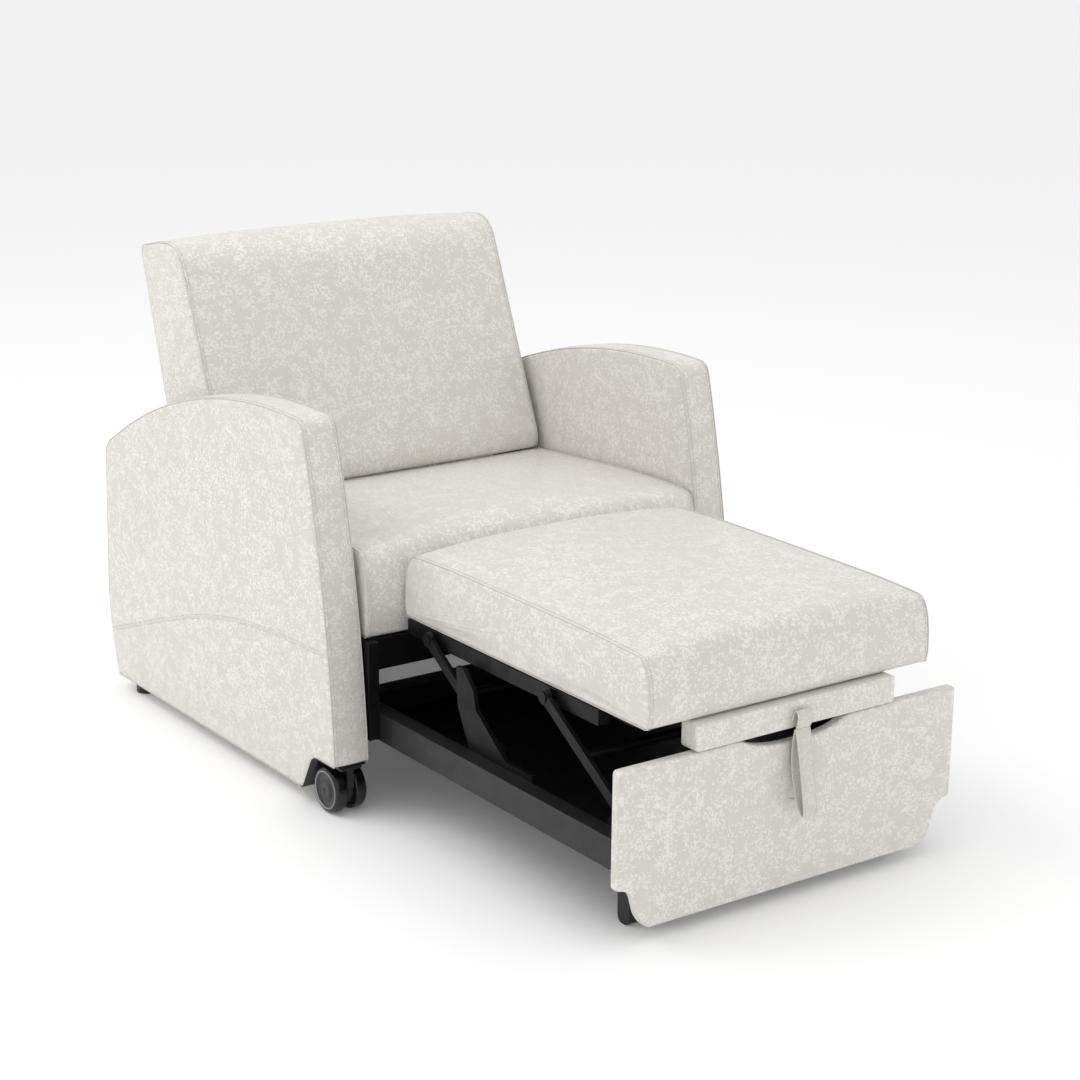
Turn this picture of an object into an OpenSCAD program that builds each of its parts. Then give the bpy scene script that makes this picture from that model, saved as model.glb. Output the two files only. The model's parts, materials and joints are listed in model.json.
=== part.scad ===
// Patient recliner chair with a pull-out leg rest, a reclining back and twin-wheel front casters.
// Millimetres. +Z is up and the chair faces -Y. The origin is on the floor, under the middle.

/* [Overall] */
// Width across the two arms
overall_w = 860; // [820:1:900]
// Thickness of one arm
arm_t = 73; // [70:1:78]
// Height of the back cushion's top above the floor
back_top_z = 868; // [860:1:880]

/* [Seat] */
// Half width of the seat cushion
seat_half_w = 352; // [345:1:356]
// Height of the seat cushion's underside
seat_z = 299; // [296:1:299]
// Rear end of the seat cushion
seat_rear_y = 460; // [450:1:462]

/* [Back] */
// Half width of the back cushion
back_half_w = 347; // [342:1:352]
// Height of the back hinge axis
back_axis_z = 400; // [399:1:401]
// Distance of the back hinge axis from the origin
back_axis_y = 490; // [489:1:491]

/* [Leg rest] */
// Half width of the leg rest cushion
leg_half_w = 284; // [280:1:284]
// Height of the leg rest cushion's underside
leg_z = 332; // [331:1:333]
// Front end of the leg rest cushion
leg_front_y = -720; // [-722:1:-716]
// Width of the pull strap
strap_w = 31; // [25:1:36]

/* [Carriage] */
// Half width of the front panel
panel_half_w = 339; // [336:1:342]
// Thickness of the front panel
panel_t = 20; // [18:1:20]
// Height of a side rail tube
rail_h = 50; // [46:1:50]
// Wall of the steel tubes
tube_wall = 2.5; // [2:0.5:3]

/* [Casters] */
// Diameter of a caster wheel
wheel_d = 80; // [76:1:80]
// Width of a caster wheel
wheel_w = 22; // [20:1:22]
// Distance of the wheel axle behind the swivel stem
caster_trail = 22; // [18:1:22]

/* [Hidden] */

$fn = 64;

vinyl = [0.87, 0.86, 0.83];
steel_black = [0.10, 0.10, 0.11];
charcoal = [0.27, 0.27, 0.28];
zinc = [0.62, 0.63, 0.65];
ply = [0.72, 0.58, 0.40];
rubber_black = [0.05, 0.05, 0.06];

arm_out = overall_w / 2;
arm_in = arm_out - arm_t;
arm_bottom_z = 25;
notch_z = 93;              // top of the caster notch
core_wall = 19;            // foam over the arm core, each side
side_t = 19;               // base side plate
side_in = arm_in - side_t;
base_z0 = 128;             // underside of the base side plates
base_front_y = -65;
base_rear_y = 722;
base_rail_z = 245;         // underside of the base cross rails
base_rail_h = 40;
deck_t = 14;

caster_x = arm_out - 40;
stem_y = -44;
stem_r = 5.5;
axle_y = stem_y + caster_trail;
axle_z = wheel_d / 2;
axle_r = 4;
disc_r = 32;               // wheel disc inside the tyre
hood_top_z = 86;
run_gap = 0.05;            // radial clearance of every running fit

pin_r = 8;                 // back hinge pins
bar_t = 12;
bar_x = side_in - 26;      // inner face of a back side bar
bracket_x = side_in - 12;  // inner face of a back hinge bracket

rail_out = side_in - 0.5;
rail_in = side_in - 30;
rail_z = 125;
rail_rear_y = 90;
panel_back_y = -707;
panel_top_z = 285;
plate_t = 8;               // link plates and their brackets
link_bracket_x = rail_in - plate_t;
link_x = link_bracket_x - 2 - plate_t;
link_pin_r = 6;
link_dy = 205;
link_dz = 129;
rear_pivot = [-355, 190];
front_pivot = [-682, 190];
link_top_gap = 1;          // loose fit at the front link's upper pin
link_u = [link_dy, link_dz] / norm([link_dy, link_dz]);
link_n = [-link_u[1], link_u[0]];
link_half_h = 9;
stop_along = 85;           // where the stop pin under the rear link sits, from its lower pin
leg_rear_y = -54;
leg_rail_w = 20;
leg_rail_h = 25;
leg_rail_out = leg_half_w;

// Points on a circular arc from a to b that bulges by sag to the left of a to b
function arc(a, b, sag, n = 8) =
    let (d = b - a, len = norm(d), u = d / len, left = [-u[1], u[0]],
         r = (len * len / 4 + sag * sag) / (2 * abs(sag)), s = sign(sag),
         centre = (a + b) / 2 + left * (sag - s * r), half = asin(min(1, len / 2 / r)))
    [for (i = [0:n]) let (t = -half + 2 * half * i / n)
        centre + left * (s * r * cos(t)) + u * (r * sin(t))];

// A quadratic curve from a to b pulled towards c
function bend(a, c, b, n = 6) =
    [for (i = [0:n]) let (t = i / n) a * pow(1 - t, 2) + c * 2 * t * (1 - t) + b * t * t];

// Extrudes a (y, z) outline along x, from x0 for a thickness t
module across(points, x0, t) {
    translate([x0, 0, 0]) rotate([90, 0, 90]) linear_extrude(t) polygon(points);
}

// A round bar along x, centred on a (y, z) point
module bar(p, x0, len, r) {
    translate([x0, p[0], p[1]]) rotate([0, 90, 0]) cylinder(h = len, r = r);
}

// A block given by its two corners
module block(a, b) {
    translate(a) cube(b - a);
}

// Shows its children on the right (+X) side, or mirrored on the left (-X) side
module on(side) {
    if (side == "left") mirror([1, 0, 0]) children();
    else children();
}

// ---- arms ----

arm_outline = concat(
    arc([-66, notch_z], [24, 652], 14, 8),
    bend([24, 652], [29, 668], [48, 669], 4),
    arc([48, 669], [728, 497], 52, 22),
    bend([728, 497], [757, 485], [762, 462], 4),
    [[772, 206]],
    arc([772, 206], [740, arm_bottom_z], 8, 6),
    [[44, arm_bottom_z], [8, notch_z]]
);

core_outline = concat(
    [[-58, notch_z], [44, 640]],
    arc([46, 642], [716, 484], 48, 14),
    [[742, 455], [750, 206], [724, arm_bottom_z], [66, arm_bottom_z], [30, notch_z]]
);

module arm_core_block() {
    across(core_outline, arm_in + core_wall, arm_t - 2 * core_wall);
}

module arm_pad() {
    color(vinyl) difference() {
        across(arm_outline, arm_in, arm_t);
        arm_core_block();
    }
}

module arm_core() {
    color(ply) difference() {
        arm_core_block();
        translate([caster_x, stem_y, notch_z - 1]) cylinder(h = 23, r = stem_r + 1.5);
    }
}

// ---- base ----

module base_side() {
    color(steel_black)
    block([side_in, base_front_y, base_z0], [arm_in, base_rear_y, seat_z]);
}

// A rectangular tube along x
module cross_tube(half_w, y, z, w, h) {
    difference() {
        block([-half_w, y, z], [half_w, y + w, z + h]);
        block([-half_w - 1, y + tube_wall, z + tube_wall],
              [half_w + 1, y + w - tube_wall, z + h - tube_wall]);
    }
}

module base_front_rail() {
    color(steel_black) cross_tube(side_in, -50, base_rail_z, 25, base_rail_h);
}

module base_rear_rail() {
    color(steel_black) cross_tube(side_in, 640, base_rail_z, 40, base_rail_h);
}

module seat_deck() {
    color(steel_black) block([-side_in, base_front_y + 15, seat_z - deck_t], [side_in, 455, seat_z]);
}

seat_outline = concat(
    [[-47, seat_z]],
    bend([-50, 330], [-50, 446], [-16, 450], 6),
    bend([0, 453], [120, 456], [250, 443], 6),
    [[429, 424], [seat_rear_y, 414], [seat_rear_y, seat_z]]
);

module seat_cushion() {
    color(vinyl) across(seat_outline, -seat_half_w, 2 * seat_half_w);
}

module rear_panel() {
    color(vinyl) block([-arm_in, base_rear_y, 60], [arm_in, base_rear_y + 22, 365]);
}

module rear_glide() {
    color(rubber_black) translate([arm_out - arm_t / 2, 690, 0]) {
        cylinder(h = 10, r = 20);
        translate([0, 0, 9]) cylinder(h = arm_bottom_z - 9, r = 8);
    }
}

module caster_plate() {
    color(steel_black) difference() {
        block([caster_x - 25, -62, notch_z - 5], [caster_x + 25, -8, notch_z]);
        translate([caster_x, stem_y, notch_z - 6]) cylinder(h = 7, r = stem_r + run_gap);
    }
}

module back_hinge_bracket() {
    eye = [back_axis_y, back_axis_z];
    color(steel_black) difference() {
        union() {
            across([[466, 205], [516, 205], [516, 372], [508, 400], [472, 400], [466, 372]],
                   bracket_x, side_in - bracket_x);
            bar(eye, bracket_x, side_in - bracket_x, 18);
        }
        bar(eye, bracket_x - 1, side_in - bracket_x + 2, pin_r);
    }
}

module back_hinge_pins() {
    eye = [back_axis_y, back_axis_z];
    color(zinc) for (side = ["left", "right"]) on(side) {
        bar(eye, bar_x - 4, side_in - bar_x + 4, pin_r);
        bar(eye, bar_x - 8, 4.5, 12);
    }
}

module frame_bolts() {
    color(zinc) for (side = ["left", "right"]) on(side) {
        for (y = [40, 240, 600], z = [200, 232]) bar([y, z], side_in - 5, 5, 7);
        for (y = [480, 503], z = [225, 270]) bar([y, z], bracket_x - 5, 5, 6);
    }
}

// ---- casters ----

module caster_hood() {
    color(rubber_black) difference() {
        union() {
            bar([axle_y, axle_z], caster_x - 6.5, 13, 31);
            block([caster_x - 6.5, stem_y - 12, axle_z + 8],
                  [caster_x + 6.5, axle_y + 8, hood_top_z - 3]);
            block([caster_x - 20, stem_y - 15, hood_top_z - 4],
                  [caster_x + 20, axle_y + 12, hood_top_z]);
            translate([caster_x, stem_y, hood_top_z - 1]) cylinder(h = 27, r = stem_r);
        }
        bar([axle_y, axle_z], caster_x - 8, 16, axle_r);
    }
}

module caster_axle() {
    color(zinc) bar([axle_y, axle_z], caster_x - 25, 50, axle_r);
}

// A wheel's tyre, with its inner face at x = 0 and its outer face at x = wheel_w
module tyre() {
    r = wheel_d / 2;
    color(rubber_black) rotate([0, 90, 0]) rotate_extrude()
        polygon(concat([[disc_r, 0], [r - 3, 0]], bend([r - 3, 0], [r, 0], [r, 4], 3),
                       bend([r, wheel_w - 7], [r, wheel_w], [r - 7, wheel_w], 4),
                       [[disc_r, wheel_w]]));
}

// A wheel's hub, in the same place as its tyre, with a blind axle bore
module hub() {
    color(charcoal) difference() {
        rotate([0, 90, 0]) cylinder(h = wheel_w - 1, r = disc_r);
        translate([-1, 0, 0]) rotate([0, 90, 0]) cylinder(h = 19, r = axle_r + run_gap);
    }
}

// Places a wheel piece on the outer or the inner side of the right caster
module wheel_at(outer) {
    translate([caster_x, axle_y, axle_z]) {
        if (outer) translate([8, 0, 0]) children();
        else mirror([1, 0, 0]) translate([8, 0, 0]) children();
    }
}

// ---- back ----

back_outline = concat(
    bend([440.5, 469], [432, 430], [456, 430], 5),
    [[500, 430], [645, 470], [674, 567]],
    bend([755, 832], [759, 848], [742, 852], 5),
    [[680, back_top_z - 2]],
    bend([645, back_top_z], [606, back_top_z], [587, 818], 6)
);

bar_outline = [
    [492, 382], [628, 420], [624, 462], [708, 743], [685, 750], [598, 451], [488, 418]
];

module back_bar_block(grow) {
    across(bar_outline, bar_x - grow, bar_t + 2 * grow);
}

module back_cross_bar_blocks() {
    for (p = [[613, 500], [648, 620], [680, 730]])
        across([p, p + [21, -6], p + [25, 8], p + [4, 14]], -bar_x, 2 * bar_x);
}

module back_bar() {
    eye = [back_axis_y, back_axis_z];
    color(steel_black) difference() {
        union() {
            back_bar_block(0);
            bar(eye, bar_x, bar_t, 18);
        }
        bar(eye, bar_x - 1, bar_t + 2, pin_r + run_gap);
    }
}

module back_cross_bars() {
    color(steel_black) back_cross_bar_blocks();
}

module back_cushion() {
    color(vinyl) difference() {
        across(back_outline, -back_half_w, 2 * back_half_w);
        for (side = ["left", "right"]) on(side) back_bar_block(0);
        back_cross_bar_blocks();
    }
}

// ---- carriage ----

module carriage_rail() {
    color(charcoal) difference() {
        block([rail_in, panel_back_y, rail_z], [rail_out, rail_rear_y, rail_z + rail_h]);
        block([rail_in + tube_wall, panel_back_y - 1, rail_z + tube_wall],
              [rail_out - tube_wall, rail_rear_y + 1, rail_z + rail_h - tube_wall]);
    }
}

module carriage_front_tube() {
    color(steel_black) cross_tube(rail_in, -690, 130, 45, 35);
}

module carriage_rear_tube() {
    color(steel_black) cross_tube(rail_in, 40, 130, 40, 35);
}

// a thin board screwed up under the rails, which closes the carriage's floor
module carriage_pan() {
    color(steel_black) block([-320, -636, rail_z - 4], [320, 86, rail_z]);
}

corner_cut = concat(bend([panel_half_w, 95], [309, 92], [305, 71], 4),
                    bend([302, 60], [297, 36], [278, 22], 4));
notch_half = concat(bend([0, 263], [62, 263], [92, 277], 5), [[114, panel_top_z]]);

module front_panel() {
    right = concat(notch_half, [[panel_half_w, panel_top_z]], corner_cut);
    left = [for (i = [len(right) - 1:-1:1]) [-right[i][0], right[i][1]]];
    color(vinyl) translate([0, panel_back_y, 0]) rotate([90, 0, 0])
        linear_extrude(panel_t) polygon(concat(right, left));
}

module front_foot() {
    color(rubber_black) across(
        concat([[-668, 130], [-639, 130]], bend([-639, 14], [-641, 0], [-650, 0], 4),
               bend([-658, 0], [-667, 1], [-668, 14], 4)), 240, 30);
}

module rear_link_bracket() {
    color(steel_black) difference() {
        union() {
            across([[-464, 140], [-320, 140], [-292, 172], [-256, 240], [-252, 306],
                    [-272, 306], [-300, 278], [-308, 247], [-365, 205], [-393, 186],
                    [-464, 186]], link_bracket_x, plate_t);
            bar(rear_pivot + stop_along * link_u - (link_half_h + 5.4) * link_n,
                link_x - 1, plate_t + 4, 5);
        }
        bar(rear_pivot, link_bracket_x - 1, plate_t + 2, link_pin_r);
    }
}

module front_link_bracket() {
    p = front_pivot;
    color(steel_black) difference() {
        union() {
            across([[-700, 165], [-650, 165], [-668, 192], [-696, 192]], link_bracket_x, plate_t);
            bar(p, link_bracket_x, plate_t, 14);
        }
        bar(p, link_bracket_x - 1, plate_t + 2, link_pin_r);
    }
}

module lower_link_pins() {
    color(steel_black) for (side = ["left", "right"]) on(side) for (p = [rear_pivot, front_pivot]) {
        bar(p, link_x - 3, rail_in - link_x + 3, link_pin_r);
        bar(p, link_x - 6, 3.5, 9);
    }
}

module bracket_bolts() {
    color(steel_black) for (side = ["left", "right"]) on(side)
        for (y = [-445, -415]) bar([y, 163], link_bracket_x - 5, 5, 6);
}

// ---- links ----

module link_plate(p, top_r) {
    q = p + [link_dy, link_dz];
    n = link_n * link_half_h;
    difference() {
        union() {
            bar(p, link_x, plate_t, 13);
            bar(q, link_x, plate_t, 13);
            across([p - n, q - n, q + n, p + n], link_x, plate_t);
        }
        bar(p, link_x - 1, plate_t + 2, link_pin_r + run_gap);
        bar(q, link_x - 1, plate_t + 2, top_r);
    }
}

// Two link plates joined by a round tie
module link_frame(p, top_r) {
    color(steel_black) union() {
        for (side = ["left", "right"]) on(side) link_plate(p, top_r);
        bar(p + [link_dy, link_dz] / 2, -link_x - 1, 2 * link_x + 2, 8);
    }
}

// ---- leg rest ----

module leg_rail() {
    color(steel_black)
    block([leg_rail_out - leg_rail_w, -600, leg_z - leg_rail_h], [leg_rail_out, -70, leg_z]);
}

module leg_board() {
    in_w = leg_rail_out - leg_rail_w;
    color(steel_black) block([-in_w, -660, leg_z - 12], [in_w, -70, leg_z]);
}

leg_outline = concat(
    [[leg_front_y + 4, leg_z]],
    bend([leg_front_y, 350], [leg_front_y, 455], [leg_front_y + 26, 457], 6),
    bend([-560, 461], [-387, 464], [-214, 461], 6),
    bend([leg_rear_y - 26, 457], [leg_rear_y, 455], [leg_rear_y, 350], 6),
    [[leg_rear_y - 4, leg_z]]
);

module leg_cushion() {
    color(vinyl) across(leg_outline, -leg_half_w, 2 * leg_half_w);
}

module riser_block() {
    color(vinyl) block([-200, -732, panel_top_z + 1], [200, -692, leg_z]);
}

module upper_link_pins() {
    color(steel_black) for (side = ["left", "right"]) on(side) for (p = [rear_pivot, front_pivot]) {
        q = p + [link_dy, link_dz];
        bar(q, leg_rail_out, link_x + plate_t + 1.5 - leg_rail_out, link_pin_r);
        bar(q, link_x + plate_t + 0.5, 1.4, 9);
    }
}

// ---- pull strap ----

module strap_tab() {
    color(vinyl) across(concat([[-732, 295], [-732, 310]],
                               bend([-736, 318], [-742, 324], [-747, 312], 4),
                               [[-747, 295]]), -strap_w / 2, strap_w);
}

strap_outer = concat(
    bend([-736, 289], [-729, 240], [-732, 196], 5),
    bend([-735, 160], [-744, 148], [-756, 151], 5),
    bend([-770, 156], [-775, 200], [-769, 230], 5),
    [[-747, 284], [-744, 289]]
);
strap_inner = concat(
    [[-740, 276]],
    bend([-734, 240], [-732, 220], [-736, 190], 5),
    bend([-739, 158], [-747, 152], [-756, 156], 5),
    bend([-765, 160], [-771, 200], [-765, 230], 5)
);

module strap_loop() {
    color(vinyl) difference() {
        across(strap_outer, -strap_w / 2, strap_w);
        across(strap_inner, -strap_w / 2 - 1, strap_w + 2);
    }
}

on("left") arm_pad();  // arm_pad_left
on("right") arm_pad();  // arm_pad_right
on("left") arm_core();  // arm_core_left
on("right") arm_core();  // arm_core_right
on("left") base_side();  // base_side_left
on("right") base_side();  // base_side_right
base_front_rail();
base_rear_rail();
seat_deck();
seat_cushion();
rear_panel();
on("left") rear_glide();  // rear_glide_left
on("right") rear_glide();  // rear_glide_right
on("left") caster_plate();  // caster_plate_left
on("right") caster_plate();  // caster_plate_right
on("left") back_hinge_bracket();  // back_hinge_bracket_left
on("right") back_hinge_bracket();  // back_hinge_bracket_right
back_hinge_pins();
frame_bolts();
on("left") caster_hood();  // caster_hood_left
on("left") caster_axle();  // caster_axle_left
on("left") wheel_at(true) tyre();  // outer_tyre_left
on("left") wheel_at(true) hub();  // outer_hub_left
on("left") wheel_at(false) tyre();  // inner_tyre_left
on("left") wheel_at(false) hub();  // inner_hub_left
on("right") caster_hood();  // caster_hood_right
on("right") caster_axle();  // caster_axle_right
on("right") wheel_at(true) tyre();  // outer_tyre_right
on("right") wheel_at(true) hub();  // outer_hub_right
on("right") wheel_at(false) tyre();  // inner_tyre_right
on("right") wheel_at(false) hub();  // inner_hub_right
on("left") back_bar();  // back_bar_left
on("right") back_bar();  // back_bar_right
back_cross_bars();
back_cushion();
on("left") carriage_rail();  // carriage_rail_left
on("right") carriage_rail();  // carriage_rail_right
carriage_front_tube();
carriage_rear_tube();
carriage_pan();
front_panel();
on("left") front_foot();  // front_foot_left
on("right") front_foot();  // front_foot_right
on("left") rear_link_bracket();  // rear_link_bracket_left
on("right") rear_link_bracket();  // rear_link_bracket_right
on("left") front_link_bracket();  // front_link_bracket_left
on("right") front_link_bracket();  // front_link_bracket_right
lower_link_pins();
bracket_bolts();
link_frame(rear_pivot, link_pin_r + run_gap);  // rear_link_frame
link_frame(front_pivot, link_pin_r + link_top_gap);  // front_link_frame
on("left") leg_rail();  // leg_rail_left
on("right") leg_rail();  // leg_rail_right
leg_board();
leg_cushion();
riser_block();
upper_link_pins();
strap_tab();
strap_loop();
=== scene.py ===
import json
import math

import bpy
import numpy as np
from mathutils import Matrix, Vector
from mathutils.bvhtree import BVHTree


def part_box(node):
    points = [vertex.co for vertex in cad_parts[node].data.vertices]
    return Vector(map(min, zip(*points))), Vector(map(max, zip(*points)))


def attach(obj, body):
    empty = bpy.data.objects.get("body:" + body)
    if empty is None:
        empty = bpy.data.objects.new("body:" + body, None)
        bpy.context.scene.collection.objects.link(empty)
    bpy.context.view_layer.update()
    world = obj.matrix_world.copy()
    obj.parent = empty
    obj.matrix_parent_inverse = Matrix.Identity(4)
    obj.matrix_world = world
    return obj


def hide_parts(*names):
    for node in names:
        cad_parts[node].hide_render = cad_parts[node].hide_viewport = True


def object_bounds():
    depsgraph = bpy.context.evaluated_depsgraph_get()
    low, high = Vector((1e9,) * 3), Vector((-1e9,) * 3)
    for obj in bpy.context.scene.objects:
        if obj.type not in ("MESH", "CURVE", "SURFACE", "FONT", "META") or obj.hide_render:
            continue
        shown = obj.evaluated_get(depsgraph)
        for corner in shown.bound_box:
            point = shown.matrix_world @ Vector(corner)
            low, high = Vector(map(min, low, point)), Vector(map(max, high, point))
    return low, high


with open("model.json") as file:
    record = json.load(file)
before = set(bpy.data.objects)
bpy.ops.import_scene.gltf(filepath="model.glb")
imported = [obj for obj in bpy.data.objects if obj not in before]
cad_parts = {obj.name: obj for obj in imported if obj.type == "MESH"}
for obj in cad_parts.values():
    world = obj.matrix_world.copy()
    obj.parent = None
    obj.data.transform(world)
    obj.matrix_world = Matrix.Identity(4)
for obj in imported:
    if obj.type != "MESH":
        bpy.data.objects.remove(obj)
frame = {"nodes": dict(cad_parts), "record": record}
cad_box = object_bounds()
MM = 0.001
SIDES = {"left": -1, "right": 1}


# ---- the camera ----

def look_at(azimuth, elevation, roll, target, distance):
    """The camera's world matrix. Azimuth 0 looks along +Y."""
    a, e, r = (math.radians(v) for v in (azimuth, elevation, roll))
    back = Vector((math.sin(a) * math.cos(e), -math.cos(a) * math.cos(e), math.sin(e)))
    x = Vector((0, 0, 1)).cross(back).normalized()
    y = back.cross(x)
    right = math.cos(r) * x + math.sin(r) * y
    up = -math.sin(r) * x + math.cos(r) * y
    place = Vector(target) + back * distance
    matrix = Matrix((right, up, back)).transposed().to_4x4()
    matrix.translation = place
    return matrix


# the photo's camera, fitted to the chair's straight edges: degrees, metres, and lens millimetres
AZIMUTH, ELEVATION, ROLL = -35.64, 16.29, 0.65
TARGET, DISTANCE = (0.02765, -0.01049, 0.40393), 4.30337
LENS, SENSOR = 82.08, 36.0

camera = bpy.data.objects.new("camera", bpy.data.cameras.new("camera"))
bpy.context.scene.collection.objects.link(camera)
camera.data.sensor_width = SENSOR
camera.data.lens = LENS
camera.matrix_world = look_at(AZIMUTH, ELEVATION, ROLL, TARGET, DISTANCE)
bpy.context.scene.camera = camera
bpy.context.scene.view_settings.view_transform = "Standard"


# ---- node helpers for materials ----

class Nodes:
    """A small builder round a material's node tree."""

    def __init__(self, name):
        self.material = bpy.data.materials.new(name)
        self.material.use_nodes = True
        self.tree = self.material.node_tree
        self.shader = self.tree.nodes["Principled BSDF"]

    def add(self, kind, **settings):
        node = self.tree.nodes.new(kind)
        for key, value in settings.items():
            setattr(node, key, value)
        return node

    def link(self, out, into):
        self.tree.links.new(out, into)

    def put(self, socket, value):
        if isinstance(value, bpy.types.NodeSocket):
            self.link(value, socket)
        else:
            socket.default_value = value

    def math(self, operation, a, b=0.0):
        node = self.add("ShaderNodeMath", operation=operation)
        self.put(node.inputs[0], a)
        self.put(node.inputs[1], b)
        return node.outputs[0]

    def vector(self, operation, a, b=(0, 0, 0)):
        node = self.add("ShaderNodeVectorMath", operation=operation)
        self.put(node.inputs[0], a)
        self.put(node.inputs[1], b)
        return node.outputs[0]

    def noise(self, where, scale, detail=2.0, rough=0.5):
        node = self.add("ShaderNodeTexNoise")
        self.put(node.inputs["Vector"], where)
        node.inputs["Scale"].default_value = scale
        node.inputs["Detail"].default_value = detail
        node.inputs["Roughness"].default_value = rough
        return node.outputs["Fac"]

    def spread(self, value, low, high, to_low=0.0, to_high=1.0):
        node = self.add("ShaderNodeMapRange")
        self.put(node.inputs["Value"], value)
        for name, number in (("From Min", low), ("From Max", high),
                             ("To Min", to_low), ("To Max", to_high)):
            node.inputs[name].default_value = number
        return node.outputs["Result"]

    def mix(self, share, a, b):
        node = self.add("ShaderNodeMix", data_type="RGBA")
        self.put(node.inputs["Factor"], share)
        self.put(node.inputs["A"], a)
        self.put(node.inputs["B"], b)
        return node.outputs["Result"]

    def bump(self, height, strength, distance, under=None):
        node = self.add("ShaderNodeBump")
        node.inputs["Strength"].default_value = strength
        node.inputs["Distance"].default_value = distance
        self.put(node.inputs["Height"], height)
        if under is not None:
            self.link(under, node.inputs["Normal"])
        return node.outputs["Normal"]


def colour(r, g, b):
    return (r, g, b, 1.0)


# ---- materials ----

CLOTH_UV = "cloth"          # UVs in metres along the cloth
FLECK = 0.0024              # the narrow side of one fleck of the pattern


def fleck_grid(n, uv, width, height, seed):
    """White noise, one value for each cell of a grid of width by height."""
    shifted = n.vector("ADD", uv, (seed * 0.37, seed * 0.61, 0.0))
    cell = n.vector("FLOOR", n.vector("DIVIDE", shifted, (width, height, 1.0)))
    white = n.add("ShaderNodeTexWhiteNoise", noise_dimensions="3D")
    n.link(n.vector("ADD", cell, (0.0, 0.0, float(seed))), white.inputs["Vector"])
    return white.outputs["Value"]


def make_vinyl(name, ground, fleck, dark, rough, fleck_rough):
    """Off-white coated upholstery with a scattered pattern of small glossier dashes."""
    n = Nodes(name)
    uv = n.add("ShaderNodeUVMap", uv_map=CLOTH_UV).outputs[0]
    place = n.add("ShaderNodeTexCoord").outputs["Object"]
    clouds = n.noise(uv, 34.0, 3.0, 0.6)
    broad = n.noise(uv, 9.0, 1.0)
    density = n.math("ADD", n.spread(clouds, 0.38, 0.68, 0.02, 0.42),
                     n.spread(broad, 0.35, 0.65, -0.06, 0.06))
    masks = []
    for seed, width, height in ((1, FLECK, 2.2 * FLECK), (2, 2.2 * FLECK, FLECK),
                                (3, FLECK, FLECK)):
        value = fleck_grid(n, uv, width, height, seed)
        share = 0.55 if seed < 3 else 0.75
        masks.append(n.math("LESS_THAN", value, n.math("MULTIPLY", density, share)))
    bright = n.math("MAXIMUM", n.math("MAXIMUM", masks[0], masks[1]), masks[2])
    low = fleck_grid(n, uv, FLECK, 1.6 * FLECK, 7)
    dim = n.math("LESS_THAN", low, n.math("MULTIPLY", density, 0.5))
    base = n.mix(n.math("MULTIPLY", dim, 0.55), colour(*ground), colour(*dark))
    base = n.mix(n.math("MULTIPLY", bright, 0.85), base, colour(*fleck))
    tone = n.spread(n.noise(place, 3.0, 2.0), 0.3, 0.7, 0.0, 1.0)
    warm = n.mix(n.math("MULTIPLY", tone, 0.10), base, colour(0.72, 0.69, 0.63))
    n.link(warm, n.shader.inputs["Base Color"])
    n.put(n.shader.inputs["Roughness"], n.spread(bright, 0.0, 1.0, rough, fleck_rough))
    grain = n.noise(uv, 900.0, 2.0)
    crease = n.noise(place, 26.0, 3.0)
    first = n.bump(grain, 0.10, 0.0004)
    second = n.bump(bright, 0.30, 0.00022, first)
    n.link(n.bump(crease, 0.10, 0.004, second), n.shader.inputs["Normal"])
    n.shader.inputs["Specular IOR Level"].default_value = 0.6
    n.shader.inputs["Sheen Weight"].default_value = 0.08
    n.shader.inputs["Sheen Roughness"].default_value = 0.4
    return n.material


def make_coated(name, base, rough, worn, grain=0.15, shine=0.5):
    """Painted or moulded surface: fine texture, faint uneven gloss and paler rubbed patches."""
    n = Nodes(name)
    place = n.add("ShaderNodeTexCoord").outputs["Object"]
    patch = n.noise(place, 14.0, 4.0, 0.6)
    rubbed = n.spread(patch, 0.60, 0.74, 0.0, 0.30)
    n.link(n.mix(rubbed, colour(*base), colour(*worn)), n.shader.inputs["Base Color"])
    n.link(n.spread(n.noise(place, 40.0, 3.0), 0.3, 0.7, rough - 0.07, rough + 0.09),
           n.shader.inputs["Roughness"])
    n.link(n.bump(n.noise(place, 1400.0, 1.0), grain, 0.0004), n.shader.inputs["Normal"])
    n.shader.inputs["Specular IOR Level"].default_value = shine
    return n.material


def make_plywood(name):
    """Pale plywood with stretched grain."""
    n = Nodes(name)
    place = n.add("ShaderNodeTexCoord").outputs["Object"]
    streak = n.noise(n.vector("MULTIPLY", place, (30.0, 2.0, 30.0)), 4.0, 4.0, 0.65)
    shade = n.mix(n.spread(streak, 0.3, 0.7), colour(0.50, 0.36, 0.21), colour(0.70, 0.56, 0.38))
    n.link(shade, n.shader.inputs["Base Color"])
    n.link(n.spread(streak, 0.3, 0.7, 0.55, 0.75), n.shader.inputs["Roughness"])
    n.link(n.bump(streak, 0.2, 0.0006), n.shader.inputs["Normal"])
    return n.material


def make_zinc(name, base, rough):
    """Plated steel with fine brushing."""
    n = Nodes(name)
    place = n.add("ShaderNodeTexCoord").outputs["Object"]
    brush = n.noise(n.vector("MULTIPLY", place, (1.0, 14.0, 14.0)), 160.0, 3.0)
    tone = tuple(v * 0.75 for v in base)
    n.link(n.mix(n.spread(brush, 0.3, 0.7), colour(*base), colour(*tone)),
           n.shader.inputs["Base Color"])
    n.link(n.spread(brush, 0.3, 0.7, rough - 0.08, rough + 0.1), n.shader.inputs["Roughness"])
    n.link(n.bump(brush, 0.08, 0.0003), n.shader.inputs["Normal"])
    n.shader.inputs["Metallic"].default_value = 1.0
    return n.material


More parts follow.
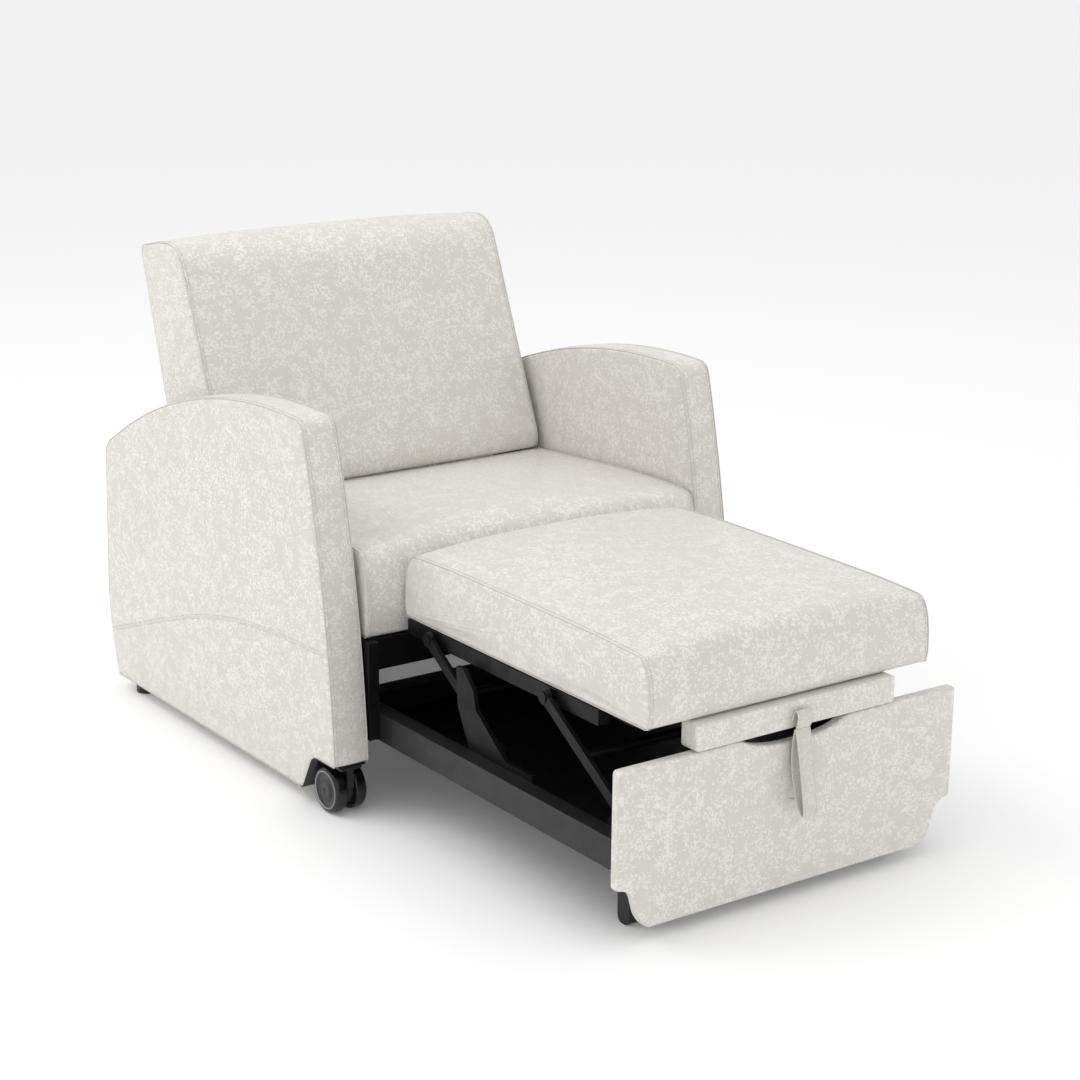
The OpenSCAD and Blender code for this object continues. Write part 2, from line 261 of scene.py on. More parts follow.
VINYL = make_vinyl("patterned_vinyl", (0.645, 0.622, 0.578), (0.81, 0.798, 0.77),
                   (0.605, 0.58, 0.535), 0.46, 0.20)
STRAP = make_vinyl("strap_vinyl", (0.60, 0.575, 0.53), (0.68, 0.66, 0.62),
                   (0.56, 0.53, 0.49), 0.50, 0.36)
THREAD = make_coated("thread", (0.60, 0.58, 0.54), 0.7, (0.64, 0.62, 0.58))
WELT = make_coated("welt", (0.63, 0.608, 0.565), 0.5, (0.68, 0.66, 0.62), 0.05)
BLACK = make_coated("black_powder_coat", (0.004, 0.004, 0.0045), 0.40,
                    (0.010, 0.010, 0.011), shine=0.22)
LAMINATE = make_coated("black_laminate", (0.004, 0.004, 0.0045), 0.45,
                       (0.008, 0.008, 0.009), 0.05, 0.2)
CHARCOAL = make_coated("charcoal_powder_coat", (0.016, 0.0155, 0.0165), 0.36,
                       (0.03, 0.03, 0.031), shine=0.35)
PLASTIC = make_coated("black_plastic", (0.006, 0.006, 0.0065), 0.40, (0.014, 0.014, 0.014), 0.1)
TYRE = make_coated("tyre_polyurethane", (0.004, 0.004, 0.005), 0.20, (0.02, 0.02, 0.02), 0.02)
DISC = make_coated("wheel_disc", (0.022, 0.023, 0.025), 0.42, (0.032, 0.032, 0.035), 0.08)
RING = make_zinc("wheel_ring", (0.42, 0.43, 0.45), 0.34)
ZINC = make_zinc("zinc_plate", (0.55, 0.56, 0.58), 0.35)
PLY = make_plywood("plywood")

CAD_LOOKS = {"plywood": PLY, "black_panel": LAMINATE, "black_steel": BLACK,
             "charcoal_rail": CHARCOAL, "zinc": ZINC, "black_plastic": PLASTIC,
             "wheel_tyre": TYRE, "wheel_hub": DISC, "upholstery": VINYL, "strap": STRAP}

for sub in frame["record"]["subparts"]:
    node = frame["nodes"][sub["node"]]
    node.data.materials.clear()
    node.data.materials.append(CAD_LOOKS[sub["material_slot"]])


# ---- outlines ----

def arc(a, b, sag, n=8):
    """Points on a circular arc from a to b that bulges by sag to the left of a to b."""
    a, b = np.array(a, float), np.array(b, float)
    d = b - a
    length = np.linalg.norm(d)
    u = d / length
    left = np.array([-u[1], u[0]])
    r = (length * length / 4 + sag * sag) / (2 * abs(sag))
    s = math.copysign(1, sag)
    centre = (a + b) / 2 + left * (sag - s * r)
    half = math.asin(min(1.0, length / 2 / r))
    angles = [-half + 2 * half * i / n for i in range(n + 1)]
    return [centre + left * s * r * math.cos(t) + u * r * math.sin(t) for t in angles]


def bend(a, c, b, n=8):
    """A quadratic curve from a to b pulled towards c."""
    a, b, c = (np.array(p, float) for p in (a, b, c))
    steps = [i / n for i in range(n + 1)]
    return [a * (1 - t) ** 2 + c * 2 * t * (1 - t) + b * t * t for t in steps]


def even_loop(points, step):
    """A closed outline in millimetres, resampled at nearly even spacing, anticlockwise."""
    p = np.array(points, float)
    area = np.sum(p[:, 0] * np.roll(p[:, 1], -1) - np.roll(p[:, 0], -1) * p[:, 1])
    if area < 0:
        p = p[::-1]
    closed = np.vstack([p, p[:1]])
    run = np.concatenate([[0], np.cumsum(np.linalg.norm(np.diff(closed, axis=0), axis=1))])
    at = np.linspace(0, run[-1], max(12, int(run[-1] / step)) + 1)[:-1]
    return np.column_stack([np.interp(at, run, closed[:, k]) for k in (0, 1)])


def outward(p):
    """Outward unit normals of a closed anticlockwise outline, softened at its corners."""
    t = np.roll(p, -1, 0) - np.roll(p, 1, 0)
    n = np.column_stack([t[:, 1], -t[:, 0]])
    n /= np.linalg.norm(n, axis=1)[:, None]
    return n


# ---- upholstered shells ----

def to_yz(a, b, c):
    return (c, a, b)


def to_xz(a, b, c):
    return (a, -c, b)


CORNER_ANGLES = (0, 22.5, 45, 67.5, 90)
CROWN_POWER = 2.6           # how flat the crown stays across the middle of a band
PINNED_ROWS = 5             # rows of points beside each seam that the cloth holds still
WELT_INSET = 0.35           # share of the rounded edge that a welt sits in from the outside


class Shell:
    """A closed cover: a band round an outline and a face on each side of it.
    The outline lies in (a, b), the thickness runs along c, all in millimetres. The band's
    edges are rounded by edge, crown lifts the band, and puff swells the two faces."""

    def __init__(self, name, outline, middle, half, step, edge, across, puff, rings,
                 place=to_yz, crown=None, faces_fall=3.0):
        self.name, self.place = name, place
        self.loop = even_loop(outline, step)
        self.normal = outward(self.loop)
        self.middle, self.half, self.edge = middle, half, edge
        verts, faces, uvs = [], [], []
        m = len(self.loop)
        run = np.concatenate([[0], np.cumsum(np.linalg.norm(
            np.roll(self.loop, -1, 0) - self.loop, axis=1))])
        flat = half - edge
        corner = [(-(flat + edge * math.cos(a)), edge * (1 - math.sin(a)))
                  for a in (math.radians(v) for v in CORNER_ANGLES)]
        inner = np.linspace(-flat, flat, across + 1)[1:-1]
        stations = (corner + [(c, 0.0) for c in inner]
                    + [(-c, inset) for c, inset in corner[::-1]])
        self.pins = set()
        for k, (c, inset) in enumerate(stations):
            share = 1 - min(1.0, abs(c) / flat) ** CROWN_POWER
            for i in range(m):
                lift = crown(self.loop[i], self.normal[i]) * share if crown else 0.0
                p = self.loop[i] + self.normal[i] * (lift - inset)
                verts.append(place(p[0], p[1], middle + c))
                if k <= PINNED_ROWS or k >= len(stations) - 1 - PINNED_ROWS:
                    self.pins.add(len(verts) - 1)
        for k in range(len(stations) - 1):
            for i in range(m):
                j = (i + 1) % m
                faces.append((k * m + i, k * m + j, (k + 1) * m + j, (k + 1) * m + i))
                s0, s1 = run[i] * MM, run[i + 1] * MM
                c0, c1 = stations[k][0] * MM, stations[k + 1][0] * MM
                uvs.append(((c0, s0), (c0, s1), (c1, s1), (c1, s0)))
        centre = self.loop.mean(0)
        for side, row in ((-1, 0), (1, len(stations) - 1)):
            rim = self.loop - self.normal * edge
            last = [row * m + i for i in range(m)]
            for ring in range(1, rings):
                t = 1 - ring / rings
                rise = puff * (1 - t ** faces_fall)
                start = len(verts)
                for i in range(m):
                    p = centre + (rim[i] - centre) * t
                    verts.append(place(p[0], p[1], middle + side * (half + rise)))
                    if ring == 1:
                        self.pins.add(len(verts) - 1)
                now = [start + i for i in range(m)]
                for i in range(m):
                    j = (i + 1) % m
                    quad = (last[i], now[i], now[j], last[j])
                    faces.append(quad if side < 0 else quad[::-1])
                last = now
            # the last ring is closed by a ladder of quads, so no point has many neighbours
            for i in range((m - 1) // 2):
                a, b, c, d = last[i], last[i + 1], last[m - 2 - i], last[m - 1 - i]
                cell = (a, d, c, b) if b != c else (a, d, b)
                faces.append(cell if side < 0 else cell[::-1])
        self.object = make_mesh(name, np.array(verts) * MM, faces)
        self.map_cloth(uvs)

    def map_cloth(self, band):
        """UVs in metres: along the band, and flat on the two faces."""
        mesh = self.object.data
        layer = mesh.uv_layers.new(name=CLOTH_UV)
        for k, face in enumerate(mesh.polygons):
            for c, loop in enumerate(face.loop_indices):
                if k < len(band):
                    layer.data[loop].uv = band[k][c]
                else:
                    co = mesh.vertices[mesh.loops[loop].vertex_index].co
                    flat = (co.y, co.z) if self.place is to_yz else (co.x, co.z)
                    layer.data[loop].uv = flat

    def edge_path(self, side):
        """The line along one edge between the band and a face, in metres."""
        c = self.middle + side * (self.half - self.edge * WELT_INSET)
        points = []
        for p, n in zip(self.loop, self.normal):
            q = p - n * self.edge * (1 - math.cos(math.radians(45))) * WELT_INSET
            points.append(Vector(self.place(q[0], q[1], c)) * MM)
        return points


def make_mesh(name, verts, faces, material=None):
    mesh = bpy.data.meshes.new(name)
    mesh.from_pydata([tuple(v) for v in verts], [], faces)
    mesh.update()
    face_outward(mesh)
    obj = bpy.data.objects.new(name, mesh)
    bpy.context.scene.collection.objects.link(obj)
    for p in mesh.polygons:
        p.use_smooth = True
    if material:
        mesh.materials.append(material)
    return obj


def face_outward(mesh):
    """Turns a closed mesh right side out."""
    co = np.array([v.co for v in mesh.vertices])
    volume = 0.0
    for p in mesh.polygons:
        a = co[p.vertices[0]]
        for i in range(1, len(p.vertices) - 1):
            volume += np.dot(a, np.cross(co[p.vertices[i]], co[p.vertices[i + 1]]))
    if volume < 0:
        mesh.flip_normals()


CLOTH_STIFFNESS, CLOTH_PRESSURE, CLOTH_FRAMES = 30.0, 3.0, 20


def inflate(shell, cap, keep_still):
    """Blows the cover up a little as cloth, with its seams and the points that
    keep_still names held, and each point's travel capped."""
    obj = shell.object
    rest = np.array([v.co for v in obj.data.vertices])
    held = obj.vertex_groups.new(name="held")
    pins = [i for i, co in enumerate(rest) if i in shell.pins or keep_still(co / MM)]
    held.add(pins, 1.0, "REPLACE")
    cloth = obj.modifiers.new("cloth", "CLOTH")
    s = cloth.settings
    s.quality = 4
    s.mass = 0.3
    s.tension_stiffness = s.compression_stiffness = CLOTH_STIFFNESS
    s.shear_stiffness = CLOTH_STIFFNESS / 2
    s.bending_stiffness = 1.5
    s.use_pressure = True
    s.uniform_pressure_force = CLOTH_PRESSURE
    s.vertex_group_mass = "held"
    s.effector_weights.gravity = 0.0
    cloth.collision_settings.use_collision = False
    cloth.collision_settings.use_self_collision = False
    for number in range(1, CLOTH_FRAMES + 1):
        bpy.context.scene.frame_set(number)
    done = obj.evaluated_get(bpy.context.evaluated_depsgraph_get()).to_mesh()
    moved = np.array([v.co for v in done.vertices])
    obj.modifiers.remove(cloth)
    bpy.context.scene.frame_set(1)
    travel = moved - rest
    size = np.maximum(np.linalg.norm(travel, axis=1), 1e-9)
    soft = cap * MM * np.tanh(size / (cap * MM))
    final = rest + travel * (soft / size)[:, None]
    obj.data.vertices.foreach_set("co", final.ravel())
    obj.vertex_groups.clear()
    obj.data.update()


def subdivide(obj):
    m = obj.modifiers.new("smooth", "SUBSURF")
    m.levels = m.render_levels = 1
    m.boundary_smooth = "PRESERVE_CORNERS"


TUBE_SIDES = 6


def tube(name, points, radius, material, closed=True):
    """A thin welt swept along a line of points in metres, radius in millimetres."""
    pts = [Vector(p) for p in points]
    n = len(pts)
    verts, faces = [], []
    for i, p in enumerate(pts):
        ahead = pts[(i + 1) % n] if closed or i + 1 < n else p
        behind = pts[i - 1] if closed or i > 0 else p
        t = (ahead - behind).normalized()
        side = t.cross(Vector((0.31, 0.53, 0.79))).normalized()
        up = t.cross(side)
        for k in range(TUBE_SIDES):
            a = 2 * math.pi * k / TUBE_SIDES
            verts.append(p + (side * math.cos(a) + up * math.sin(a)) * radius * MM)
    for i in range(n if closed else n - 1):
        j = (i + 1) % n
        for k in range(TUBE_SIDES):
            m = (k + 1) % TUBE_SIDES
            faces.append((i * TUBE_SIDES + k, i * TUBE_SIDES + m,
                          j * TUBE_SIDES + m, j * TUBE_SIDES + k))
    if not closed:
        faces.append(tuple(range(TUBE_SIDES))[::-1])
        faces.append(tuple((n - 1) * TUBE_SIDES + k for k in range(TUBE_SIDES)))
    return make_mesh(name, verts, faces, material)


def stitches(name, points, normals, pitch=4.6, length=3.2, width=0.55, closed=True):
    """A row of thread stitches that lies on the surface along a line of points in metres.
    The pitch, length and width are in millimetres."""
    pts = [Vector(p) for p in points]
    if closed:
        pts.append(pts[0])
        normals = list(normals) + [normals[0]]
    verts, faces, left = [], [], 0.0
    for a, b, na in zip(pts, pts[1:], normals):
        d = b - a
        size = d.length
        if size < 1e-7:
            continue
        t = d / size
        side = t.cross(na).normalized() * width * MM
        up = na.normalized() * width * MM
        at = left
        while at < size:
            c = a + t * at
            half = t * length * MM / 2
            start = len(verts)
            for end, slim in ((-1, 0.5), (0, 1.0), (1, 0.5)):
                q = c + half * end
                lift = up * (0.9 if end == 0 else 0.1)
                verts += [q + side * slim + lift * 0.3, q + lift, q - side * slim + lift * 0.3,
                          q - up * 0.6]
            for k in (start, start + 4):
                for e in range(4):
                    f = (e + 1) % 4
                    faces.append((k + e, k + f, k + 4 + f, k + 4 + e))
            faces.append((start + 3, start + 2, start + 1, start))
            faces.append((start + 8, start + 9, start + 10, start + 11))
            at += pitch * MM
        left = at - size
    return make_mesh(name, verts, faces, THREAD)


def trim(piece, body):
    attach(piece, body)


def upholster(shell, body, node):
    """Finishes a cover and lets it stand for the plain solid of one node."""
    obj = shell.object
    obj.data.materials.append(VINYL)
    subdivide(obj)
    trim(obj, body)
    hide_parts(node)


STITCH_LIFT, STITCH_BACK = 1.2, 6.0     # a row's height over the welt and distance from it


def seam_pair(shell, body, radius):
    """A welt along both edges of a cover, with a row of stitches beside each."""
    across = Vector(shell.place(0, 0, 1))
    ups = [Vector(shell.place(q[0], q[1], 0)) for q in shell.normal]
    for side, word in ((-1, "a"), (1, "b")):
        points = shell.edge_path(side)
        trim(tube(f"{shell.name}_welt_{word}", points, radius, WELT), body)
        line = [p + up * STITCH_LIFT * MM - across * side * STITCH_BACK * MM
                for p, up in zip(points, ups)]
        trim(stitches(f"{shell.name}_stitch_{word}", line, ups), body)


# ---- arms ----

ARM_OUT = cad_box[1].x / MM
ARM_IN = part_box("arm_pad_right")[0].x / MM
NOTCH_Z, ARM_BOTTOM = 93.0, 25.0
arm_outline = (
    arc((-66, NOTCH_Z), (24, 652), 14, 10) + bend((24, 652), (29, 668), (48, 669), 5)
    + arc((48, 669), (728, 497), 52, 26) + bend((728, 497), (757, 485), (762, 462), 5)
    + [(772, 206)] + arc((772, 206), (740, ARM_BOTTOM), 8, 8)
    + bend((50, ARM_BOTTOM), (42, ARM_BOTTOM), (38, 34), 3)
    + bend((14, 80), (8, NOTCH_Z), (-8, NOTCH_Z), 5)
)
LOW_SEAM = [(767, 109), (594, 171), (432, 226), (317, 256), (208, 273), (104, 282), (4, 285),
            (-38, 285)]


SEAM_POINTS = 90
SEAM_SPREAD = 3.4           # millimetres from the lower seam to the stitches on each side
SEAM_SINK = 0.0002          # metres that stitches stand out of the cloth, and a welt sits in it
ARM_REACH = 0.6             # metres to the side that the rays onto an arm start from


def smooth_line(points, n):
    """A smooth line of n points through a few given ones."""
    p = np.array(points, float)
    run = np.concatenate([[0], np.cumsum(np.linalg.norm(np.diff(p, axis=0), axis=1))])
    at = np.linspace(0, run[-1], n)
    rough = np.column_stack([np.interp(at, run, p[:, k]) for k in range(p.shape[1])])
    for _ in range(12):
        rough[1:-1] = (rough[:-2] + 2 * rough[1:-1] + rough[2:]) / 4
    return rough


def lower_seam(tree, out, shift, stand):
    """The arm's lower seam, moved up by shift and laid on the arm's outer face."""
    line = []
    for y, z in smooth_line(LOW_SEAM, SEAM_POINTS):
        start = Vector((out.x * ARM_REACH, y * MM, (z + shift) * MM))
        hit = tree.ray_cast(start, -out)[0]
        if hit is not None:
            line.append(hit + out * stand)
    return line


for side, s in SIDES.items():
    arm = Shell(f"arm_upholstery_{side}", arm_outline, s * (ARM_OUT + ARM_IN) / 2,
                (ARM_OUT - ARM_IN) / 2 - 2.0, step=9.0, edge=6.5, across=6,
                crown=lambda p, n: 2.0 if n[1] > -0.5 else 0.6, puff=2.0, rings=14,
                faces_fall=6.0)
    upholster(arm, "base", f"arm_pad_{side}")
    seam_pair(arm, "base", 1.0)
    tree = BVHTree.FromPolygons([v.co for v in arm.object.data.vertices],
                                [tuple(p.vertices) for p in arm.object.data.polygons])
    out = Vector((s, 0, 0))
    for word, shift in (("high", SEAM_SPREAD), ("low", -SEAM_SPREAD)):
        line = lower_seam(tree, out, shift, SEAM_SINK)
        trim(stitches(f"arm_low_seam_{word}_{side}", line, [out] * len(line), closed=False),
             "base")
    ridge = lower_seam(tree, out, 0, -SEAM_SINK)
    trim(tube(f"arm_low_welt_{side}", ridge, 0.7, WELT, closed=False), "base")


NOTCH_SHADE_THICK = 1.6                 # thickness of the black strip that paints the shade in the caster notch
NOTCH_SHADE_TURN = 85             # above this height the black strip runs level, below it upright


def notch_shade_strip(side, s):
    """A black strip along the caster notch in the arm's lower edge, as painted shade for the dark
    recess over the caster.
    """
    line = (bend((47, ARM_BOTTOM - 0.8), (39.5, ARM_BOTTOM - 1), (35.5, 34), 4)
            + bend((12, 79), (6.5, NOTCH_Z - 1.2), (-8, NOTCH_Z - 1.4), 6)
            + [np.array((-58, NOTCH_Z - 1.4))])
    verts, faces = [], []
    for y, z in line:
        for x, lift in ((ARM_IN + 4, NOTCH_SHADE_THICK), (ARM_OUT - 3, NOTCH_SHADE_THICK), (ARM_OUT - 3, 0.0),
                        (ARM_IN + 4, 0.0)):
            back_by = lift if z < NOTCH_SHADE_TURN else 0
            verts.append((s * x * MM, (y + back_by) * MM, (z + lift) * MM))
    for i in range(len(line) - 1):
        for k in range(4):
            m = (k + 1) % 4
            faces.append((i * 4 + k, i * 4 + m, i * 4 + 4 + m, i * 4 + 4 + k))
    faces += [(3, 2, 1, 0), tuple(len(verts) - 4 + k for k in range(4))]
    trim(make_mesh(f"notch_liner_{side}", verts, faces, PLASTIC), "base")


for side, s in SIDES.items():
    notch_shade_strip(side, s)


# ---- seat ----

seat_outline = (
    [(-44, 300)] + bend((-47, 330), (-50, 442), (-20, 447), 10)
    + bend((0, 450), (110, 453), (250, 443), 10) + [(379, 434), (427, 431), (455, 429), (457, 301)]
)


def seat_crown(p, n):
    """The seat's crown dies away under the back cushion."""
    fade = min(1.0, max(0.0, (430 - p[0]) / 130))
    return 15 * max(0.0, n[1]) ** 2 * fade + 3 * max(0.0, -n[0]) ** 2


seat = Shell("seat_cover", seat_outline, 0.0, 350.0, step=9.0, edge=6.0, across=44,
             crown=seat_crown, puff=1.5, rings=8)
inflate(seat, 6.0, lambda p: p[2] < 304 or p[1] > 400)
upholster(seat, "base", "seat_cushion")
seam_pair(seat, "base", 1.1)


# ---- back ----

back_outline = (
    bend((441, 468), (433, 431), (452, 430), 7) + [(500, 431), (644, 471), (673, 568)]
    + bend((753, 831), (757, 847), (741, 851), 7) + [(690, 862)]
    + bend((650, 866), (606, 868), (588, 818), 9)
)


def back_crown(p, n):
    """The back's crown: fullest on its front face, slight on top and behind."""
    front = 9 * max(0.0, -n[0]) ** 2
    return front + 3 * max(0.0, n[1]) ** 2 + 2 * max(0.0, n[0])


back = Shell("back_cover", back_outline, 0.0, 345.0, step=9.0, edge=10.0, across=44,
             crown=back_crown, puff=2.5, rings=9)
inflate(back, 5.0, lambda p: p[2] < 470 and p[1] > 455)
upholster(back, "back", "back_cushion")
seam_pair(back, "back", 0.9)


# ---- leg rest ----

leg_low, leg_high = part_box("leg_cushion")
LEG_FRONT, LEG_REAR = leg_low.y / MM + 1, leg_high.y / MM - 1
leg_outline = (
    [(LEG_FRONT + 4, 333)]
    + bend((LEG_FRONT, 352), (LEG_FRONT - 1, 441), (LEG_FRONT + 30, 443), 10)
    + bend((-600, 447), (-387, 449), (-174, 447), 10)
    + bend((LEG_REAR - 30, 443), (LEG_REAR + 1, 441), (LEG_REAR, 352), 10)
    + [(LEG_REAR - 4, 333)]
)


def leg_crown(p, n):
    """The leg rest's crown: high on top, slight on the front and back, none underneath."""
    ends = 2 * abs(n[0]) ** 2 if n[1] > -0.3 else 0
    return 15 * max(0.0, n[1]) ** 2 + ends


leg = Shell("leg_rest_cover", leg_outline, 0.0, 282.0, step=9.0, edge=7.0, across=38,
            crown=leg_crown, puff=2.0, rings=8)
inflate(leg, 6.0, lambda p: p[2] < 338)
upholster(leg, "leg_rest", "leg_cushion")
seam_pair(leg, "leg_rest", 1.0)

# for the riser and the two panels: how far the middle of the pad lies in front of the origin
# (behind it for the rear panel), and half the pad's thickness
RISER_AT, RISER_HALF = 712.0, 19.5
PANEL_AT, PANEL_HALF = 717.0, 9.6
REAR_AT, REAR_HALF = -733.0, 10.4

riser_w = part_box("riser_block")[1].x / MM
riser_outline = (
    bend((-riser_w, 291), (-riser_w, 287), (-riser_w + 4, 287), 3)
    + bend((riser_w - 4, 287), (riser_w, 287), (riser_w, 291), 3)
    + [(riser_w, 331), (-riser_w, 331)]
)
riser = Shell("riser_cover", riser_outline, RISER_AT, RISER_HALF, place=to_xz, step=6.0,
              edge=4.0, across=6, puff=0.8, rings=6, faces_fall=8.0)
upholster(riser, "leg_rest", "riser_block")


# ---- panels ----

panel_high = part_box("front_panel")[1]
panel_w, panel_top = panel_high.x / MM, panel_high.z / MM
right_half = (
    bend((0, 264), (62, 264), (92, 277), 8) + bend((98, 280), (106, 284), (118, panel_top), 4)
    + bend((panel_w - 6, panel_top), (panel_w, panel_top), (panel_w, panel_top - 6), 4)
    + bend((panel_w, 96), (309, 93), (305, 71), 6) + bend((302, 60), (297, 36), (278, 23), 6)
)
panel_outline = right_half + [np.array((-p[0], p[1])) for p in right_half[:0:-1]]
panel = Shell("front_panel_cover", panel_outline, PANEL_AT, PANEL_HALF, place=to_xz, step=5.0,
              edge=4.5, across=4, puff=1.2, rings=12, faces_fall=8.0)
upholster(panel, "carriage", "front_panel")

rear_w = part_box("rear_panel")[1].x / MM - 1
rear_outline = [(-rear_w, 61), (rear_w, 61), (rear_w, 364), (-rear_w, 364)]
rear = Shell("rear_panel_cover", rear_outline, REAR_AT, REAR_HALF, place=to_xz, step=9.0,
             edge=5.0, across=4, puff=0.6, rings=10, faces_fall=8.0)
upholster(rear, "base", "rear_panel")

# a black sheet just behind the rear panel, as painted shade: it darkens the space under the seat,
# which is only in shade
SHADE_SHEET_FRONT, SHADE_SHEET_REAR = 0.7188, 0.7208
SHADE_SHEET_LOW, SHADE_SHEET_HIGH = 0.05, 0.28
SHADE_SHEET_X = (ARM_IN - 12) * MM
shade_sheet = make_mesh("rear_panel_shade_sheet", [
    (x, y, z) for y in (SHADE_SHEET_FRONT, SHADE_SHEET_REAR)
    for x, z in ((-SHADE_SHEET_X, SHADE_SHEET_LOW), (SHADE_SHEET_X, SHADE_SHEET_LOW),
                 (SHADE_SHEET_X, SHADE_SHEET_HIGH), (-SHADE_SHEET_X, SHADE_SHEET_HIGH))],
    [(3, 2, 1, 0), (4, 5, 6, 7), (0, 1, 5, 4), (1, 2, 6, 5), (2, 3, 7, 6), (3, 0, 4, 7)],
    LAMINATE)
trim(shade_sheet, "base")


# ---- pull strap ----

STRAP_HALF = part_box("strap_tab")[1].x / MM - 0.3
STRAP_THICK = 2.6
STRAP_ROW = 4               # millimetres from the strap's edge to a row of stitches


def ribbon(name, line, step):
    """A flat strap of vinyl swept along a (y, z) line in millimetres, with soft edges."""
    n = max(8, int(np.linalg.norm(np.diff(np.array(line), axis=0), axis=1).sum() / step))
    p = smooth_line(line, n)
    t = np.gradient(p, axis=0)
    t /= np.linalg.norm(t, axis=1)[:, None]
    up = np.column_stack([-t[:, 1], t[:, 0]])
    profile = [(-1, 0), (-0.97, 0.75), (-0.8, 1), (-0.4, 0.9), (0, 0.92), (0.4, 0.9), (0.8, 1),
               (0.97, 0.75), (1, 0), (0.97, -0.75), (0.8, -1), (0.4, -0.9), (0, -0.92),
               (-0.4, -0.9), (-0.8, -1), (-0.97, -0.75)]
    k = len(profile)
    verts, faces = [], []
    for q, u in zip(p, up):
        for x, h in profile:
            c = q + u * h * STRAP_THICK / 2
            verts.append((x * STRAP_HALF * MM, c[0] * MM, c[1] * MM))
    for i in range(n - 1):
        for j in range(k):
            m = (j + 1) % k
            faces.append((i * k + j, i * k + m, (i + 1) * k + m, (i + 1) * k + j))
    faces.append(tuple(range(k))[::-1])
    faces.append(tuple((n - 1) * k + j for j in range(k)))
    obj = make_mesh(name, verts, faces, STRAP)
    layer = obj.data.uv_layers.new(name=CLOTH_UV)
    for face in obj.data.polygons:
        for loop in face.loop_indices:
            index = obj.data.loops[loop].vertex_index
            layer.data[loop].uv = (verts[index][0], (index // k) * step * MM)
    subdivide(obj)
    return obj, p, up


def strap_rows(name, p, up, body):
    """A row of stitches along each edge of the strap, on both of its faces."""
    for word, x in (("a", -STRAP_HALF + STRAP_ROW), ("b", STRAP_HALF - STRAP_ROW)):
        for face, s in (("out", 1), ("in", -1)):
            line = [Vector((x, *(q + u * s * STRAP_THICK / 2))) * MM for q, u in zip(p, up)]
            ups = [Vector((0, u[0], u[1])) * s for u in up]
            piece = stitches(f"{name}_stitch_{word}_{face}", line, ups, 3.4, 2.4, 0.4, False)
            trim(piece, body)


LOOP_LINE = [(-741, 290), (-745, 275), (-752, 245), (-759, 211), (-766, 172), (-769, 157),
             (-767, 150), (-761, 153), (-752, 168), (-743, 192), (-736, 222), (-734, 250),
             (-737, 277), (-740, 290)]
loop, loop_p, loop_up = ribbon("strap_hand_loop", LOOP_LINE, 3.0)
trim(loop, "strap")
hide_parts("strap_loop")
strap_rows("strap_hand_loop", loop_p, loop_up, "strap")

TAB_LINE = [(-733, 300), (-734, 312), (-738, 319), (-744, 318), (-747, 309), (-745, 298),
            (-742, 290)]
tab, tab_p, tab_up = ribbon("strap_top_fold", TAB_LINE, 1.5)
trim(tab, "leg_rest")
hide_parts("strap_tab")
strap_rows("strap_top_fold", tab_p, tab_up, "leg_rest")


# ---- caster wheels ----

LATHE_SIDES = 64
DISC_PROFILE = [
    (4.1, -18), (30, -19), (31.9, -17), (31.9, -0.8), (31.2, 0.2), (29.8, 0.2),
    (28.8, -1.0), (18.2, -1.6), (17.4, -1.0), (17.0, -1.8), (16.4, -0.4), (15.4, 0.3),
    (9, 0.7), (0.4, 0.8), (0.4, -2), (4.1, -2)]
RING_PROFILE = [
    (30.8, 0.0), (31.0, 0.9), (31.9, 1.3), (32.9, 1.2), (33.6, 0.5), (33.5, -0.4), (31.2, -0.6)]


def lathe(name, profile, centre, direction, material):
    """A turned piece about the x axis. The profile is (radius, depth) in millimetres."""
    verts, faces = [], []
    k = len(profile)
    for i in range(LATHE_SIDES):
        a = 2 * math.pi * i / LATHE_SIDES
        for r, depth in profile:
            verts.append((centre[0] + direction * depth * MM, centre[1] + r * MM * math.cos(a),
                          centre[2] + r * MM * math.sin(a)))
    for i in range(LATHE_SIDES):
        j = (i + 1) % LATHE_SIDES
        for m in range(k):
            q = (m + 1) % k
            faces.append((i * k + m, i * k + q, j * k + q, j * k + m))
    return make_mesh(name, verts, faces, material)


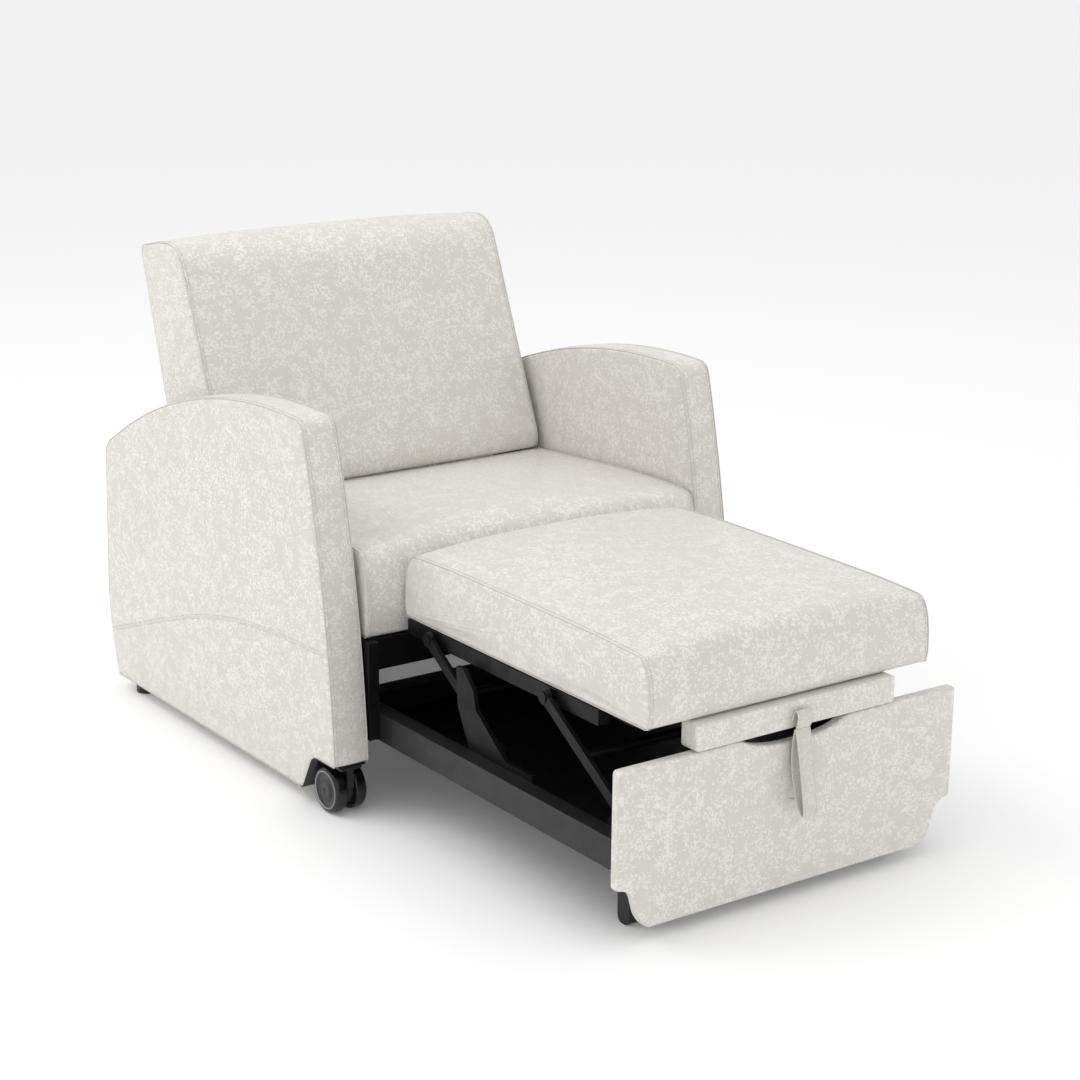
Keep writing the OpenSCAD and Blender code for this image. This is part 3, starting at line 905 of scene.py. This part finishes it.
for side, s in SIDES.items():
    for where in ("outer", "inner"):
        hub_low, hub_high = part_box(f"{where}_hub_{side}")
        mid = (hub_low + hub_high) / 2
        out = 1 if (s > 0) == (where == "outer") else -1
        centre = (hub_high.x if out > 0 else hub_low.x, mid.y, mid.z)
        body = f"{where}_wheel_{side}"
        disc = lathe(f"{where}_disc_{side}", DISC_PROFILE, centre, out, DISC)
        trim(disc, body)
        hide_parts(f"{where}_hub_{side}")
        ring = lathe(f"{where}_ring_{side}", RING_PROFILE, centre, out, RING)
        trim(ring, body)


# ---- floor and light ----

def area_light(name, place, target, size, power):
    """A white rectangular lamp that faces a point."""
    data = bpy.data.lights.new(name, "AREA")
    data.shape = "RECTANGLE"
    data.size, data.size_y = size
    data.energy = power
    data.color = (1, 1, 1)
    obj = bpy.data.objects.new(name, data)
    bpy.context.scene.collection.objects.link(obj)
    obj.location = place
    obj.rotation_mode = "QUATERNION"
    obj.rotation_quaternion = (Vector(target) - Vector(place)).to_track_quat("-Z", "Y")


floor_n = Nodes("floor")
place = floor_n.add("ShaderNodeTexCoord").outputs["Object"]
floor_tone = floor_n.spread(floor_n.noise(place, 0.8, 2.0), 0.3, 0.7, 0.0, 0.04)
floor_n.link(floor_n.mix(floor_tone, colour(0.95, 0.95, 0.95), colour(0.93, 0.93, 0.93)),
             floor_n.shader.inputs["Base Color"])
floor_n.shader.inputs["Roughness"].default_value = 0.9
floor_n.shader.inputs["Emission Color"].default_value = colour(1.0, 1.0, 1.0)
floor_n.shader.inputs["Emission Strength"].default_value = 0.06
FLOOR_HALF, FLOOR_Z = 30, -0.0005
floor = make_mesh("floor", [(x * FLOOR_HALF, y * FLOOR_HALF, FLOOR_Z)
                            for x, y in ((-1, -1), (1, -1), (1, 1), (-1, 1))],
                  [(0, 1, 2, 3)], floor_n.material)

world = bpy.data.worlds.new("studio")
bpy.context.scene.world = world
world.use_nodes = True
world.node_tree.nodes["Background"].inputs["Color"].default_value = (1.0, 1.0, 1.0, 1.0)
world.node_tree.nodes["Background"].inputs["Strength"].default_value = 0.86

area_light("key", (-2.4, 1.3, 3.4), (0, 0, 0.4), (2.2, 2.2), 40)
area_light("top", (0.4, 0.2, 3.9), (0, 0, 0.4), (3.0, 3.0), 18)
area_light("front_fill", (0.6, -4.4, 1.9), (0, 0, 0.4), (3.0, 1.6), 8)
